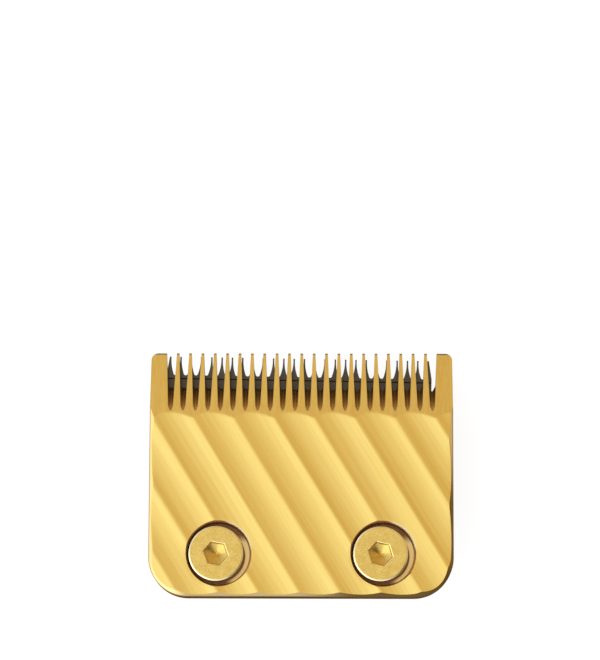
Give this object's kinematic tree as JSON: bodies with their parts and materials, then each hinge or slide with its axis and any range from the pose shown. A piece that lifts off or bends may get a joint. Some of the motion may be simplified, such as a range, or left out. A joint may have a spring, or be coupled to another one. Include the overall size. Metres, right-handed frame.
{
  "type": "hair clipper blade",
  "caption": "Hair clipper blade: a gold wedge comb with slanted flutes and socket-head mounting screws, and a black toothed cutter that slides behind it, driven by a slotted yoke.",
  "frame": {"origin": "midway between the two screw seats, on the back face of the fixed blade", "axes": "+X along the row of teeth, +Y to the tooth tips, +Z out of the fluted face"},
  "size_m": [0.046, 0.0375, 0.0119],
  "materials": {
    "gold_steel": "gold coated, brushed along the flutes",
    "gold_screw": "gold coated, fine satin",
    "black_steel": "black coated, satin",
    "yoke_plastic": "moulded, matt",
    "plain_steel": "bright zinc"
  },
  "bodies": {
    "comb": {"fixed_blade": "gold_steel", "mounting_screw_left": "gold_screw", "mounting_screw_right": "gold_screw"},
    "cutter": {"moving_blade": "black_steel", "drive_yoke": "yoke_plastic", "yoke_screw_left": "plain_steel", "yoke_screw_right": "plain_steel"}
  },
  "joints": [
    {"name": "cutter_stroke", "type": "slide", "parent": "comb", "child": "cutter", "axis": [1, 0, 0], "range_m": [-0.0009, 0.0019]}
  ]
}
